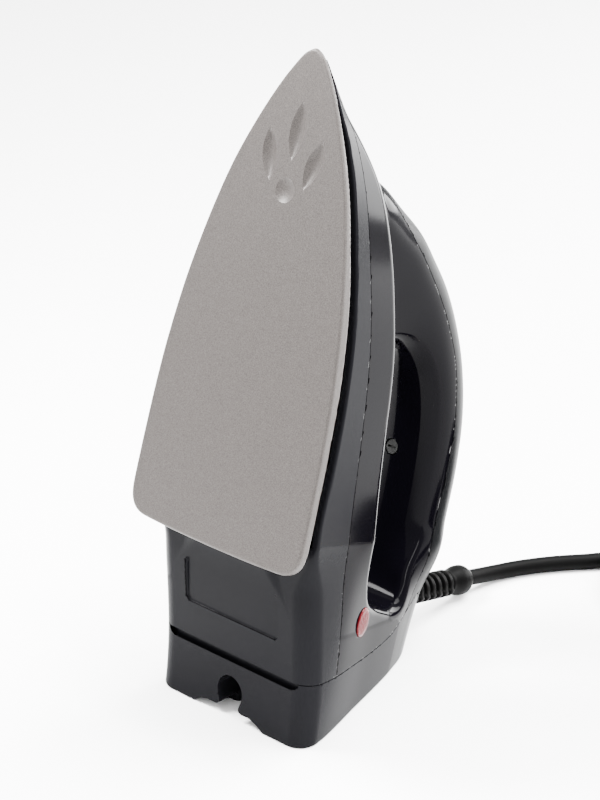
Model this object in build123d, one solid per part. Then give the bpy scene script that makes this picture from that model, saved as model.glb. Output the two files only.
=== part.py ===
from build123d import *
import math
import os

# Clothes iron, standing on its heel. All sizes are in millimetres.
#
# World frame: +Z up, the heel's flat underside on z = 0, the ironing face towards -Y,
# the handle towards +Y, and x = 0 the plane of symmetry.
# Most pieces are drawn in the iron's own frame and then stood up by stand():
#   x across the iron, y forwards from the sole's rear edge to its tip,
#   z away from the ironing face, towards the handle.

# ---- driving dimensions ----
LEAN = 17.8                     # the tip leans back from upright by this angle
SOLE_REAR = (0.0, -53.0, 81.0)  # the sole's rear edge on the ironing face, in the world frame

SOLE_LENGTH = 193.3
SOLE_HALF = 46.3                # half the sole's greatest width
SOLE_EDGE = 3.8                 # thickness of its rim
SOLE_CORE = 8.2                 # thickness over the heating element
SOLE_CORNER = 7.5

WALL = 2.4                      # moulded covers
SEAM = 0.15                     # half the gap at a seam between covers

DIAL_Y = 52.0
DIAL_R = 26.0
DIAL_BOTTOM = 50.5
DIAL_TOP = 59.5
DIAL_RIBS = 30

HANDLE_SCREW_Y = 38.0
ELEMENT_D = 6.5
ELEMENT_Z = 7.4                 # height of the element's centre line
LENS_AT = (-37.2, -23.4, 58.5)  # centre of the pilot lens, in the iron's frame
CLIP_HEIGHT = 11.0              # cord clip above the floor
CLIP_R = 6.8
CLIP_DEPTH = 16.0

CORD_D = 7.0
GUARD_START = (0.0, 49.0, 18.6)   # inner end of the cord guard, in the world frame
GUARD_END = (0.0, 103.0, 7.0)
CLAMP_Y = 38.0
CLAMP_TOP = 27.0

COIL_CENTRE = (77.0, 178.0)
COIL_R = 35.0                     # middle of the coil's turns
COIL_WIDE = 2                     # turns side by side
COIL_HIGH = 4                     # turns on each other

os.makedirs("parts", exist_ok=True)
IRON = Plane(
    origin=SOLE_REAR,
    x_dir=(-1, 0, 0),
    z_dir=(0, math.cos(math.radians(LEAN)), -math.sin(math.radians(LEAN))),
)


def stand(shape):
    """Turn a shape from the iron's own frame to the standing pose."""
    return IRON.location * shape


def save(shape, name):
    """Write one node."""
    solids = shape.solids()
    shape = solids[0] if len(solids) == 1 else Compound(children=solids)
    shape.label = name
    export_step(shape, f"parts/{name}.step")
    return shape


# ---- outlines ----
def sole_face(inset=0.0, rear=0.0):
    """Plan of the soleplate: a boat shape with a nearly straight, rounded rear end."""
    half = SOLE_HALF - inset
    tip = SOLE_LENGTH - 1.6 * inset
    side = [
        (half, rear + 14.0),
        (half - 1.3, 62.0),
        (half - 8.2, 111.0),
        (half - 23.7 + 0.2 * inset, 160.4),
        (1.6, tip - 1.4),
    ]
    right = Spline(side, tangents=[(0, 1), (-0.72, 0.69)])
    left = mirror(right, about=Plane.YZ)
    nose = ThreePointArc(right @ 1, (0, tip), left @ 1)
    flank = Line((half - 0.3, rear + 0.6), (half, rear + 14.0))
    rear_arc = ThreePointArc((half - 0.3, rear + 0.6), (0, rear - 1.6), (-half + 0.3, rear + 0.6))
    other = mirror(flank, about=Plane.YZ)
    face = make_face([right, nose, left, other, rear_arc, flank])
    corners = [v for v in face.vertices() if v.Y < rear + 3.0]
    return fillet(corners, SOLE_CORNER)


def side_region(curve, closing, half_width=80.0):
    """A prism across the iron, bounded by a smooth curve and then by straight lines."""
    smooth = Spline([(0, y, z) for y, z in curve])
    path = [curve[-1]] + closing + [curve[0]]
    lines = [Line((0, *a), (0, *b)) for a, b in zip(path, path[1:])]
    return extrude(make_face([smooth] + lines), half_width, dir=(1, 0, 0), both=True)


# ---- cross-sections of the body ----
# forward position, underside, half width there, shoulder, half width there
BODY = [
    (187.0, 4.2, 4.4, 5.0, 4.2),
    (180.0, 4.5, 10.8, 8.0, 9.8),
    (170.0, 5.2, 17.0, 15.0, 14.5),
    (153.0, 6.8, 25.0, 25.0, 20.5),
    (125.0, 7.8, 33.4, 34.2, 29.5),
    (90.0, 9.4, 41.2, 40.2, 37.6),
    (50.0, 9.4, 44.8, 43.4, 41.6),
    (12.0, 8.9, 45.2, 49.4, 40.2),
    (-14.0, 16.5, 43.4, 56.0, 37.6),
    (-45.0, 26.5, 42.4, 58.0, 36.4),
    (-84.0, 36.0, 42.6, 62.0, 35.2),
]

# the block behind the hand opening, which carries the handle down to the heel
REAR = [
    (-12.0, 18.5, 42.6, 58.0, 36.8),
    (-22.0, 22.0, 42.3, 78.0, 30.6),
    (-31.0, 25.0, 42.0, 121.0, 15.8),
    (-50.0, 31.0, 42.0, 119.5, 15.6),
    (-84.0, 41.0, 42.2, 114.0, 16.6),
]

# the handle as a bent tube: centre (forward, height), half thickness, half width, direction
HANDLE = [
    ((128.0, 26.0), 24.0, 18.0, 62.0),
    ((118.0, 46.0), 25.0, 17.6, 62.0),
    ((104.0, 71.0), 24.0, 17.4, 57.0),
    ((84.0, 94.0), 20.5, 17.2, 42.0),
    ((58.0, 109.5), 18.6, 17.0, 20.0),
    ((28.0, 116.0), 17.6, 17.2, 5.0),
    ((0.0, 116.6), 17.4, 17.8, -3.0),
    ((-22.0, 109.5), 18.0, 18.0, -24.0),
    ((-42.0, 94.0), 24.0, 18.0, -52.0),
]


def body_section(place, inset=0.0):
    """A four-sided section with rounded corners, upright across the iron."""
    y, low, low_half, high, high_half = place
    low, low_half, high, high_half = low + inset, low_half - inset, high - inset, high_half - inset
    plane = Plane(origin=(0, y, 0), x_dir=(1, 0, 0), z_dir=(0, -1, 0))
    radius = min(9.0, 0.3 * (high - low), 0.3 * high_half)
    ring = Polyline((low_half, low), (high_half, high), (-high_half, high), (-low_half, low), close=True)
    face = fillet(make_face(ring).vertices(), radius)
    return plane * face


def body_loft(places, inset=0.0, smooth=True):
    """A hull through the body's sections."""
    return loft([body_section(place, inset) for place in places], ruled=not smooth)


def handle_section(place, inset=0.0):
    """An oval across the handle's path."""
    (y, z), thick, wide, heading = place
    angle = math.radians(heading)
    plane = Plane(origin=(0, y, z), x_dir=(1, 0, 0), z_dir=(0, -math.cos(angle), math.sin(angle)))
    return plane * Ellipse(wide - inset, thick - inset)


def handle_loft(inset=0.0):
    """The whole bent handle."""
    return loft([handle_section(place, inset) for place in HANDLE])


HAND_OPENING = [
    (86.0, 52.0), (84.0, 68.0), (72.0, 87.0), (54.0, 95.0), (26.0, 99.5),
    (-4.0, 99.5), (-20.0, 94.0), (-26.5, 80.0), (-20.0, 66.0), (-8.0, 59.0),
    (12.0, 52.5), (40.0, 47.5), (66.0, 46.5),
]

SKIRT_SEAM = [
    (186.0, 3.6), (178.6, 5.6), (172.6, 9.1), (164.8, 12.2), (150.5, 14.3),
    (124.9, 17.1), (89.6, 21.3), (50.9, 24.8), (20.1, 29.2), (0.3, 33.6),
    (-20.4, 39.6), (-45.0, 45.5), (-84.0, 54.0),
]

# world frame, (back, up)
HEEL_SEAM = [(-60, 27.9), (-45, 27.6), (-17, 24.4), (6, 20.8), (22, 19.8), (37, 23.0), (48, 26.2)]

COVER_SEAM = [
    (168.0, 36.0), (148.0, 41.5), (145.5, 44.0), (140.0, 50.5), (128.0, 64.5), (115.0, 78.0),
    (101.0, 91.0), (91.0, 99.0), (79.0, 107.0), (66.0, 112.0), (45.0, 116.0),
    (15.0, 117.0), (-5.0, 114.0), (-22.0, 106.0), (-34.0, 97.0),
]


def opening_tool(grow=0.0):
    """The hand opening, through the whole width."""
    middle = Vector(0, 30, 73)
    points = []
    for y, z in HAND_OPENING:
        away = Vector(0, y, z) - middle
        points.append(Vector(0, y, z) + away.normalized() * grow)
    ring = Spline(points, periodic=True)
    return extrude(make_face(ring), 60, dir=(1, 0, 0), both=True)


def heel_zone(shift):
    """Everything below the heel cover's seam, in the world frame."""
    curve = [(y, z + shift) for y, z in HEEL_SEAM]
    smooth = Spline([(0, y, z) for y, z in curve])
    step = [(50.5, 26.6), (52.5, 18.6), (120, 18.6)]
    path = [curve[-1]] + [(y, z + shift) for y, z in step] + [(120, -40), (-60, -40), curve[0]]
    lines = [Line((0, *a), (0, *b)) for a, b in zip(path, path[1:])]
    return extrude(make_face([smooth] + lines), 80, dir=(1, 0, 0), both=True)


def below_floor():
    """Everything below the floor that the heel rests on."""
    return Box(400, 400, 100, align=(Align.CENTER, Align.CENTER, Align.MAX))


def shell():
    """The covers as one hollow moulding in the standing pose, before it is divided."""
    outer = body_loft(BODY) + body_loft(REAR, smooth=False) + handle_loft()
    outer = outer - opening_tool()
    behind_wall = [(REAR[0][0] - WALL, *REAR[0][1:])] + REAR[1:]
    inner = body_loft(BODY[2:], WALL) + body_loft(behind_wall, WALL, smooth=False) + handle_loft(WALL)
    inner = inner - opening_tool(WALL)
    mouth = extrude(Pos(0, 0, 1) * sole_face(4.2, 10.5), 12.5)
    outer, inner, mouth = stand(outer), stand(inner), stand(mouth)
    inner = inner - Pos(0, 0, WALL) * below_floor()
    return outer - below_floor(), inner, mouth


def region_below(curve, shift):
    """Everything on the sole's side of a seam drawn in the iron's frame."""
    moved = [(y, z + shift) for y, z in curve]
    last, first = moved[-1][0], moved[0][0]
    return stand(side_region(moved, [(last, -60), (first, -60)]))


def cover_zone(shift):
    """The handle cover's share of the handle."""
    moved = [(y, z + shift) for y, z in COVER_SEAM]
    return stand(side_region(moved, [(-80, 97), (-80, 180), (200, 180), (200, 36)]))


# ---- covers ----
def tube(radius, bore, start, end):
    """A straight round tube between two points, solid when the bore is 0."""
    path = Line(start, end)
    plane = Plane(origin=start, z_dir=path % 0)
    ring = Circle(radius) - Circle(bore) if bore else Circle(radius)
    return extrude(plane * ring, path.length)


def lens_oval(grow, depth_from, depth_to):
    """The pilot lens's outline, pushed through the side wall, in the iron's frame."""
    x, y, z = LENS_AT
    plane = Plane(origin=(depth_from, y, z), x_dir=(0, 0.982, -0.19), z_dir=(-1, 0, 0))
    return extrude(plane * Ellipse(6.2 + grow, 4.7 + grow), depth_from - depth_to)


def label_recess():
    """The shallow blank panel below the sole, in the world frame."""
    panel = fillet(Rectangle(51, 20).vertices(), 2.5)
    plane = Plane(origin=(0, -60, 52.8), x_dir=(1, 0, 0), z_dir=(0, 1, 0))
    return extrude(plane * panel, 19.3)


def clip_void():
    """The cord clip's round socket, its throat and the arch in the heel's front edge."""
    front = -52.0
    socket = tube(CLIP_R, 0, (0, front, CLIP_HEIGHT), (0, front + CLIP_DEPTH + 8, CLIP_HEIGHT))
    throat = Pos(0, front + 12, 4) * Box(9.6, 24, 10)
    arch = Polyline((-22, -1), (-17, 5), (17, 5), (22, -1), close=True)
    plane = Plane(origin=(0, front, 0), x_dir=(1, 0, 0), z_dir=(0, -1, 0))
    cut = extrude(plane * make_face(arch), -20)
    slots = [Pos(side * 12.5, front + 8, 7) * Rot(0, side * -28, 0) * Box(2.2, 20, 8) for side in (-1, 1)]
    return socket + throat + cut + slots[0] + slots[1]


def clip_block():
    """The thick part of the heel cover that the cord clip is cut in."""
    return Pos(0, -33.5, 0) * Box(50, 24, 21, align=(Align.CENTER, Align.CENTER, Align.MIN))


def guard_socket():
    """The hole in the heel cover and the housing for the cord guard's neck."""
    return tube(6.2, 0, GUARD_START, along_guard(40))


def along_guard(distance):
    """A point on the cord guard's axis, from its inner end."""
    start, end = Vector(*GUARD_START), Vector(*GUARD_END)
    return start + (end - start).normalized() * distance


def screw_posts():
    """Bosses inside the heel cover for its two screws, in the world frame."""
    return [tube(4.2, 0, (side * 24, -2, 0.5), (side * 24, -2, 20.3)) for side in (-1, 1)]


def build_covers():
    """The skirt, the upper housing, the handle cover and the heel cover."""
    outer, inner, mouth = shell()
    block = (clip_block() & outer) - clip_void()
    posts = (screw_posts()[0] + screw_posts()[1]) & outer
    covers = outer - inner - mouth - label_recess()
    heel = (covers + posts & heel_zone(-SEAM)) + (block & heel_zone(-SEAM))
    heel = heel - clip_void() - guard_socket()
    for side in (-1, 1):
        heel = heel - tube(1.6, 0, (side * 24, -2, -1), (side * 24, -2, 25))
        heel = heel - tube(3.6, 0, (side * 24, -2, -1), (side * 24, -2, 4))
    upper = covers - heel_zone(SEAM)
    skirt = upper & region_below(SKIRT_SEAM, -SEAM)
    upper = upper - region_below(SKIRT_SEAM, SEAM)
    cover = (upper & cover_zone(SEAM)) - guard_socket()
    housing = upper - cover_zone(-SEAM) - guard_socket()
    cover = cover + (stand(tube(3.6, 1.6, (0, HANDLE_SCREW_Y, 104), (0, HANDLE_SCREW_Y, 129))) & outer)
    collar = tube(5.4, 1.7, (0, HANDLE_SCREW_Y, 97.5), (0, HANDLE_SCREW_Y, 103.8))
    housing = housing + (stand(collar) & outer) - stand(screw_pocket())
    boss = tube(24.0, 21.6, (0, DIAL_Y, 40.0), (0, DIAL_Y, DIAL_BOTTOM - 0.6))
    roof = tube(24.0, 3.08, (0, DIAL_Y, 46.4), (0, DIAL_Y, DIAL_BOTTOM - 0.6))
    housing = housing - stand(tube(21.6, 0, (0, DIAL_Y, 38.0), (0, DIAL_Y, 46.4)))
    housing = housing + stand(boss) + stand(roof)
    housing = housing - stand(tube(3.08, 0, (0, DIAL_Y, 40.0), (0, DIAL_Y, 60.0)))
    housing = housing - stand(lens_oval(0.15, -30.0, -45.0))
    return {"skirt": skirt, "upper_housing": housing, "handle_cover": cover, "heel_cover": heel}


def screw_pocket():
    """The counterbore under the handle for the handle screw, in the iron's frame."""
    return tube(3.4, 0, (0, HANDLE_SCREW_Y, 90), (0, HANDLE_SCREW_Y, 101.6))


def biggest(shape):
    """The largest solid, without the chips that a seam may leave."""
    return max(shape.solids(), key=lambda solid: solid.volume)


# ---- sole and heat ----
ELEMENT_ROUTE = [(-21, 20), (-29, 70), (-21, 120), (-8, 149), (8, 149), (21, 120), (29, 70), (21, 20)]


def element_path():
    """Centre line of the heating element in the sole's back."""
    points = [(x, y, ELEMENT_Z) for x, y in ELEMENT_ROUTE]
    return FilletPolyline(*points, radius=7.0)


def petal_tool(half_length):
    """A spindle, pointed at both ends, whose side presses one petal."""
    side = ThreePointArc((0, -half_length, 0), (3.9, 0, 0), (0, half_length, 0))
    return revolve(make_face([side, Line((0, half_length, 0), (0, -half_length, 0))]), Axis.Y)


def sole_core():
    """The thicker middle of the casting, which holds the element."""
    return extrude(Pos(0, 0, SOLE_EDGE - 0.5) * sole_face(12.0, 15.5), SOLE_CORE - SOLE_EDGE + 0.5)


def soleplate():
    """The cast soleplate with its thicker core, the element's groove and the petal dimples."""
    plate = extrude(sole_face(), SOLE_EDGE)
    plate = plate + sole_core() - element(ELEMENT_D / 2 + 0.02)
    for pin in element_pins():
        plate = plate - pin
    plate = plate - Pos(0, 139, -4.4) * Sphere(6.6)
    petals = [(0.0, 161.7, 0.0, 11.7), (11.3, 150.8, -14.1, 10.2), (-11.3, 150.8, 14.1, 10.2)]
    for x, y, turn, half_length in petals:
        plate = plate - Pos(x, y, -2.7) * Rot(0, 0, turn) * petal_tool(half_length + 1.6)
    for x, y in SOLE_SCREWS:
        plate = plate - tube(2.0, 0, (x, y, 2.4), (x, y, 12))
    return plate


SOLE_SCREWS = [(-14, 34), (14, 34), (0, 128)]


def element(radius):
    """The sheathed tubular heating element."""
    path = element_path()
    return sweep(Plane(origin=path @ 0, z_dir=path % 0) * Circle(radius), path=path)


def element_pins():
    """The element's two terminal pins, each with a welded tab."""
    pins = []
    for side in (-1, 1):
        pin = tube(1.5, 0, (side * 21, 20, ELEMENT_Z), (side * 20.2, 14.5, ELEMENT_Z))
        tab = Pos(side * 20.5, 15.6, 13.6) * Box(0.8, 4.0, 12.4)
        pins.append(pin + tab)
    return pins


def heat_shield():
    """A pressed pan between the hot sole and the covers."""
    front = Align.MAX
    pan = extrude(Pos(0, 0, SOLE_EDGE) * sole_face(8.0, 12.2), 13.6)
    pan = pan & Pos(0, 158, 0) * Box(100, 170, 60, align=(Align.CENTER, front, Align.CENTER))
    room = extrude(Pos(0, 0, SOLE_EDGE - 1) * sole_face(9.2, 13.4), 13.4)
    room = room & Pos(0, 156.8, 0) * Box(100, 170, 60, align=(Align.CENTER, front, Align.CENTER))
    pan = pan - room - tube(7.0, 0, (0, DIAL_Y, 10), (0, DIAL_Y, 30))
    pan = pan - Pos(0, 15.6, 16) * Box(48, 7, 8) - sole_core()
    for x, y in SOLE_SCREWS:
        pan = pan - tube(2.2, 0, (x, y, 10), (x, y, 30))
    return pan


def spacers():
    """Ceramic spacers that hold the shield off the sole's core."""
    return [tube(4.0, 2.15, (x, y, SOLE_CORE), (x, y, 16.2)) for x, y in SOLE_SCREWS]


def sole_screws():
    """Pan-head screws through the shield into the sole."""
    screws = []
    for x, y in SOLE_SCREWS:
        shank = tube(2.0, 0, (x, y, 2.6), (x, y, 17.6))
        head = tube(3.8, 0, (x, y, 17.55), (x, y, 20.0)) - Pos(x, y, 20) * Box(5, 0.9, 2)
        screws.append(shank + head)
    return screws


# ---- thermostat and dial ----
def thermostat_frame():
    """Steel foot on the sole's core with a bush for the spindle."""
    foot = Pos(0, DIAL_Y, SOLE_CORE + 0.6) * Box(34, 15, 1.2)
    bush = tube(5.0, 3.08, (0, DIAL_Y, 15.8), (0, DIAL_Y, 23.0))
    bridge = Pos(0, DIAL_Y, 15.4) * Box(34, 9, 1.2) - tube(3.08, 0, (0, DIAL_Y, 14), (0, DIAL_Y, 24))
    ends = Pos(16.4, DIAL_Y, 12.2) * Box(1.2, 9, 6.4) + Pos(-16.4, DIAL_Y, 12.2) * Box(1.2, 9, 6.4)
    return foot + ends + bridge + bush


def thermostat_stack():
    """Ceramic rings that hold the contact springs apart."""
    return tube(4.0, 0, (11.0, DIAL_Y, SOLE_CORE + 1.2), (11.0, DIAL_Y, 10.4))


def contact_spring(z, reach):
    """One contact blade, clamped by the ceramic stack."""
    return Pos(11.0 - reach / 2, DIAL_Y, z) * Box(reach, 5.0, 0.5)


def bimetal():
    """The two-layer strip that opens the contacts."""
    return Pos(0, DIAL_Y, 10.65) * Box(30, 6, 0.5)


def ceramic_top():
    """The upper ceramic ring of the thermostat stack."""
    return tube(4.0, 0, (11.0, DIAL_Y, 13.35), (11.0, DIAL_Y, 14.7))


def dial_spindle():
    """The shaft from the dial to the thermostat, with a flat for the dial."""
    shaft = tube(3.0, 0, (0, DIAL_Y, 14.2), (0, DIAL_Y, DIAL_TOP - 2.0))
    flat = Pos(0, DIAL_Y + 3.4, DIAL_TOP - 4) * Box(8, 2.0, 8.0)
    return shaft - flat


def temperature_dial():
    """The ribbed dial disc under the handle."""
    disc = tube(DIAL_R - 1.0, 0, (0, DIAL_Y, DIAL_BOTTOM), (0, DIAL_Y, DIAL_TOP))
    disc = chamfer(disc.faces().sort_by(Axis.Z)[-1].edges(), 1.2)
    rib = tube(1.1, 0, (DIAL_R - 1.1, 0, DIAL_BOTTOM), (DIAL_R - 1.1, 0, DIAL_TOP - 1.3))
    ribs = [Pos(0, DIAL_Y, 0) * Rot(0, 0, 360 * i / DIAL_RIBS) * rib for i in range(DIAL_RIBS)]
    disc = disc + ribs
    hollow = tube(DIAL_R - 3.4, 6.0, (0, DIAL_Y, DIAL_BOTTOM - 1), (0, DIAL_Y, DIAL_TOP - 2.4))
    bore = tube(3.0, 0, (0, DIAL_Y, DIAL_BOTTOM - 1), (0, DIAL_Y, DIAL_TOP - 2.0))
    flat = Pos(0, DIAL_Y + 3.4, DIAL_TOP - 4) * Box(8, 2.0, 4.0)
    return disc - hollow - (bore - flat)


# ---- electrics ----
def thermal_fuse():
    """A one-shot fuse in its sleeve on the shield."""
    return tube(2.2, 0, (-12, 74, 19.8), (12, 74, 19.8))


def control_board():
    """The auto-off circuit board in the heel."""
    return Pos(0, -22, 40) * Box(50, 30, 1.6)


def relay():
    """The auto-off relay on the board."""
    return Pos(-12, -21, 46.3) * Box(19, 15.5, 11)


def capacitor():
    """The board's dropper capacitor."""
    return fillet((Pos(12.5, -15.5, 46.8) * Box(17, 7, 12)).edges().filter_by(Axis.Z), 2.0)


def tilt_axis():
    """Direction of the tilt switch's tube, in the iron's frame."""
    return Vector(0, math.cos(math.radians(15)), -math.sin(math.radians(15)))


TILT_FOOT = Vector(13, -34.5, 48.6)
TILT_BALL_R = 3.0
TILT_TRAVEL = 7.0


def tilt_switch():
    """The tube in which the tilt ball rolls, with its foot on the board."""
    way = tilt_axis()
    start = TILT_FOOT - way * (TILT_BALL_R + 2.0)
    end = TILT_FOOT + way * (TILT_TRAVEL + TILT_BALL_R + 2.0)
    body = tube(5.0, 0, start, end)
    room_start = TILT_FOOT - way * (TILT_BALL_R + 0.3)
    room_end = TILT_FOOT + way * (TILT_TRAVEL + TILT_BALL_R + 0.3)
    foot = Pos(13, -31, 42.3) * Box(6, 7, 3.0)
    return (body + foot) - tube(TILT_BALL_R + 0.35, 0, room_start, room_end)


def tilt_ball():
    """The steel ball that tells flat from upright."""
    return Pos(*TILT_FOOT) * Sphere(TILT_BALL_R)


def pilot_lens():
    """The red lens of the pilot lamp."""
    lens = lens_oval(0.0, -32.0, -38.2)
    return fillet(lens.faces().sort_by(Axis.X)[0].edges(), 1.0)


def neon_lamp():
    """The neon bulb behind the lens."""
    bulb = tube(2.5, 0, (-28.4, -29, 55.0), (-28.4, -19, 58.0))
    return fillet(bulb.edges(), 1.2)


def terminal_block():
    """Three-way terminal block in the heel cover, in the world frame."""
    block = Pos(0, 12, WALL + 4.5) * Box(24, 12, 9)
    for column in (-8, 0, 8):
        block = block - tube(1.6, 0, (column, 4, WALL + 5), (column, 20, WALL + 5))
        block = block - tube(1.5, 0, (column, 9, WALL + 5), (column, 9, 20))
    return block


def cord_clamp():
    """Saddle that grips the cord inside the heel, in the world frame."""
    saddle = Pos(0, CLAMP_Y, WALL) * Box(24, 7, CLAMP_TOP - WALL, align=(Align.CENTER, Align.CENTER, Align.MIN))
    for side in (-1, 1):
        saddle = saddle - tube(1.35, 0, (side * 8.6, CLAMP_Y, 8), (side * 8.6, CLAMP_Y, 30))
    return saddle - tube(CORD_D / 2, 0, along_guard(-30), along_guard(8))


def cord_clamp_screws():
    """The saddle's two screws."""
    screws = []
    for side in (-1, 1):
        shank = tube(1.3, 0, (side * 8.6, CLAMP_Y, 10), (side * 8.6, CLAMP_Y, CLAMP_TOP))
        head = tube(2.6, 0, (side * 8.6, CLAMP_Y, CLAMP_TOP), (side * 8.6, CLAMP_Y, CLAMP_TOP + 1.8))
        screws.append(shank + head)
    return screws


def lead_wires():
    """The cord's three cores, from its cut end to the terminal block."""
    end = along_guard(-18)
    wires = []
    for column in (-8, 0, 8):
        start = (end.X + column * 0.25, end.Y, end.Z - 0.6)
        wires.append(tube(1.0, 0, start, (column, 18.4, WALL + 5)))
    return wires


def heel_screws():
    """The two screws under the heel, in the world frame."""
    screws = []
    for side in (-1, 1):
        head = tube(3.2, 0, (side * 24, -2, 1.6), (side * 24, -2, 4.0)) - Pos(side * 24, -2, 1.6) * Box(4.6, 0.9, 1.6)
        screws.append(head + tube(1.6, 0, (side * 24, -2, 3.9), (side * 24, -2, 19)))
    return screws


def handle_screw():
    """The screw in the handle's underside that holds the handle cover."""
    head = tube(3.0, 0, (0, HANDLE_SCREW_Y, 99.0), (0, HANDLE_SCREW_Y, 101.6))
    head = head - Pos(0, HANDLE_SCREW_Y, 99.0) * Box(4.4, 0.9, 1.8)
    return head + tube(1.55, 0, (0, HANDLE_SCREW_Y, 101.5), (0, HANDLE_SCREW_Y, 118.0))


# ---- cord ----
def cord_guard():
    """Ribbed sleeve with a bulb at its outer end."""
    length = (Vector(*GUARD_END) - Vector(*GUARD_START)).length
    outline = [(CORD_D / 2, 0), (7.6, 0), (7.6, 2.4), (5.4, 2.4), (5.4, 5.6)]
    rib, pitch, count = 6.1, 3.9, 8
    at = 9.0
    for index in range(count):
        outer = rib - 0.06 * index
        outline += [(4.6, at), (outer, at + 0.6), (outer, at + 2.4), (4.6, at + 3.0)]
        at += pitch
    outline += [(5.0, at + 0.4), (6.4, at + 3.6), (6.5, at + 6.6), (5.2, length - 0.4), (CORD_D / 2, length)]
    sleeve = revolve(make_face(Polyline(*[(r, 0, h) for r, h in outline], close=True)), Axis.Z)
    plane = Plane(origin=GUARD_START, z_dir=Vector(*GUARD_END) - Vector(*GUARD_START))
    return plane.location * sleeve


LEAD_ROUTE = [
    GUARD_END, (0.9, 117.0, 4.1), (6.4, 132.5, 3.55), (15.6, 147.4, 3.5),
    (28.0, 162.0, 3.55), (35.9, 177.5, 3.5), (41.5, 192.3, 3.55),
]
TAIL_ROUTE = [(115.3, 173.0, 24.5), (113.9, 159.5, 24.3), (111.9, 146.5, 23.4)]
PLUG_AT = Vector(111.9, 146.5, 23.4)
PLUG_AIM = Vector(-0.122, -0.993, -0.275)
PLUG_LENGTH = 40.0
PIN_LENGTH = 19.0


def cord_radii(route):
    """One arc for each corner of a route: 0.45 of the shorter run over tan(half the turn)."""
    points = [Vector(*point) for point in route]
    radii = []
    for before, corner, after in zip(points, points[1:], points[2:]):
        turn = math.radians((corner - before).get_angle(after - corner))
        shorter = min((corner - before).length, (after - corner).length)
        radii.append(0.45 * shorter / math.tan(turn / 2))
    return radii


def cord_tube(route):
    """A plain round cord along straight runs joined by tangent arcs."""
    radii = cord_radii(route)
    print("cord radii", [round(radius, 1) for radius in radii])
    path = FilletPolyline(*route, radius=radii)
    cord = sweep(Plane(origin=path @ 0, z_dir=path % 0) * Circle(CORD_D / 2), path=path)
    print("cord volume ratio", round(cord.volume / (math.pi * CORD_D**2 / 4 * path.length), 4))
    return cord


def inner_cord():
    """The cord inside the guard and the clamp."""
    return tube(CORD_D / 2, 0, along_guard(-18), GUARD_END)


def cord_coil():
    """The outer shape of the stored turns."""
    x, y = COIL_CENTRE
    half = CORD_D * COIL_WIDE / 2
    return Pos(x, y, 0) * tube(COIL_R + half, COIL_R - half, (0, 0, 0), (0, 0, CORD_D * COIL_HIGH))


def plug_plane():
    """Where the cord enters the plug, looking towards its pins."""
    return Plane(origin=PLUG_AT, z_dir=PLUG_AIM)


def plug_body():
    """A round moulded plug with a tapered cord relief."""
    outline = [(0, 0), (5.0, 0), (5.6, 14), (8.5, 17), (12.0, 24), (12.5, 28)]
    outline += [(12.5, PLUG_LENGTH), (0, PLUG_LENGTH)]
    body = revolve(make_face(Polyline(*[(r, 0, h) for r, h in outline], close=True)), Axis.Z)
    return plug_plane().location * body


def plug_pins():
    """The plug's two round pins."""
    tip = PLUG_LENGTH + PIN_LENGTH
    pins = [tube(2.4, 0, (side * 9.5, 0, PLUG_LENGTH), (side * 9.5, 0, tip)) for side in (-1, 1)]
    return [plug_plane().location * pin for pin in pins]


def group(shapes):
    """Several separate solids in one node."""
    return Compound(children=[shape.solids()[0] for shape in shapes])


# ---- assembly ----
def main():
    nodes = {name: biggest(shape) for name, shape in build_covers().items()}
    standing = {
        "soleplate": soleplate(),
        "heating_element": element(ELEMENT_D / 2),
        "element_pins": group(element_pins()),
        "heat_shield": heat_shield(),
        "shield_spacers": group(spacers()),
        "sole_screws": group(sole_screws()),
        "thermostat_frame": thermostat_frame(),
        "thermostat_lower_ring": thermostat_stack(),
        "thermostat_upper_ring": ceramic_top(),
        "bimetal_strip": bimetal(),
        "fixed_contact_spring": contact_spring(12.4, 18),
        "moving_contact_spring": contact_spring(13.1, 22),
        "dial_spindle": dial_spindle(),
        "temperature_dial": temperature_dial(),
        "thermal_fuse": thermal_fuse(),
        "control_board": control_board(),
        "auto_off_relay": relay(),
        "dropper_capacitor": capacitor(),
        "tilt_switch": tilt_switch(),
        "tilt_ball": tilt_ball(),
        "pilot_lens": pilot_lens(),
        "neon_lamp": neon_lamp(),
        "handle_screw": handle_screw(),
    }
    nodes.update({name: stand(shape) for name, shape in standing.items()})
    nodes.update({
        "terminal_block": terminal_block(),
        "cord_clamp": cord_clamp(),
        "cord_clamp_screws": group(cord_clamp_screws()),
        "heel_screws": group(heel_screws()),
        "cord_guard": cord_guard(),
        "inner_cord": inner_cord(),
        "lead_wires": group(lead_wires()),
        "mains_cord": cord_tube(LEAD_ROUTE),
        "cord_coil": cord_coil(),
        "cord_tail": cord_tube(TAIL_ROUTE),
        "plug_body": plug_body(),
        "plug_pins": group(plug_pins()),
    })
    return {name: save(shape, name) for name, shape in nodes.items()}


MODEL = main()
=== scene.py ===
"""Looks of the clothes iron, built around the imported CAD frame. Metres in the world frame."""
import math

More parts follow.
